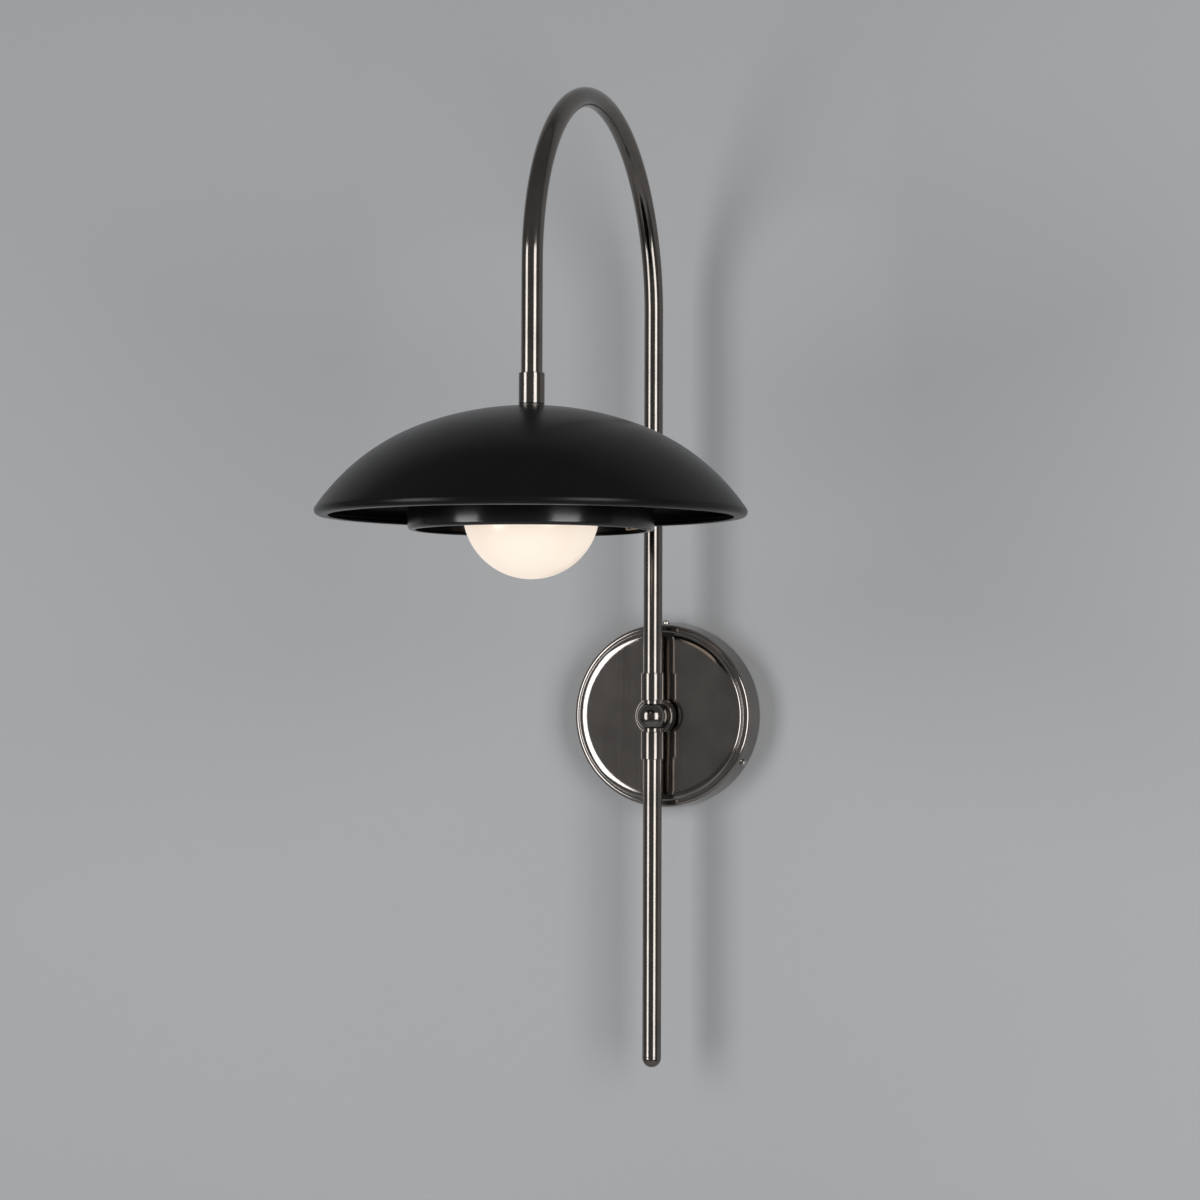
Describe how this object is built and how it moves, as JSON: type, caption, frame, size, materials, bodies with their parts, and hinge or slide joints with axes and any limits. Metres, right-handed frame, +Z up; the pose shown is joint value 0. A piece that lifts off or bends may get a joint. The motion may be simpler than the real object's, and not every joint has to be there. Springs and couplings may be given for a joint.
{
  "type": "wall light",
  "caption": "Wall light with a tall gooseneck arm on a round canopy, a wide shallow dome shade, a glare ring inside it and an opal glass globe.",
  "frame": {"origin": "centre of the mounting bracket's screw pattern, on the wall", "axes": "+Y goes into the wall, +Z is up along the stem and +X is to the right as seen from the room"},
  "size_m": [0.2552, 0.4129, 0.6352],
  "materials": {
    "dark_nickel": "brushed, dark nickel plated",
    "satin_black": "satin black",
    "warm_white": "satin",
    "zinc": "zinc plated",
    "green_zinc": "green plated",
    "plain_brass": "bare",
    "ceramic": "glazed white",
    "opal_glass": "opal",
    "clear_glass": "frosted"
  },
  "bodies": {
    "fixture": {"mounting_bracket": "zinc", "ground_screw": "green_zinc", "canopy": "dark_nickel", "canopy_screws": "dark_nickel", "canopy_nipple": "plain_brass", "canopy_washer": "zinc", "canopy_nut": "plain_brass", "hub_spacer": "dark_nickel", "hub_body": "dark_nickel", "upper_nipple": "plain_brass", "lower_nipple": "plain_brass", "upper_collar": "dark_nickel", "lower_collar": "dark_nickel", "shade_collar": "dark_nickel", "gooseneck_tube": "dark_nickel", "lower_tube": "dark_nickel", "end_cap": "dark_nickel", "shade_seat": "dark_nickel", "shade_nipple": "plain_brass", "shade_dome": "satin_black", "shade_washer": "zinc", "shade_nut": "plain_brass", "ring_hanger": "warm_white", "glare_ring": "satin_black", "ring_screws": "zinc", "ring_nuts": "zinc", "globe_carrier": "zinc", "lampholder": "ceramic", "holder_screws": "zinc", "holder_contacts": "plain_brass"},
    "globe_ring": {"globe_thread_ring": "zinc"},
    "globe": {"opal_globe": "opal_glass"},
    "lamp": {"lamp_capsule": "clear_glass", "lamp_pins": "zinc"}
  },
  "joints": [
    {"name": "globe_advance", "type": "slide", "parent": "fixture", "child": "globe_ring", "axis": [0, 0, -1], "range_m": [0, 0.0105]},
    {"name": "globe_turn", "type": "hinge", "parent": "globe_ring", "child": "globe", "pos_m": [0, -0.2853, 0.125], "axis": [0, 0, -1], "range_deg": [0, 1080]},
    {"name": "lamp_pull", "type": "slide", "parent": "fixture", "child": "lamp", "axis": [0, 0, -1], "range_m": [0, 0.012]}
  ],
  "couplings": [
    {"joint": "globe_advance", "follows": "globe_turn", "m_per_rad": 0.000557}
  ]
}
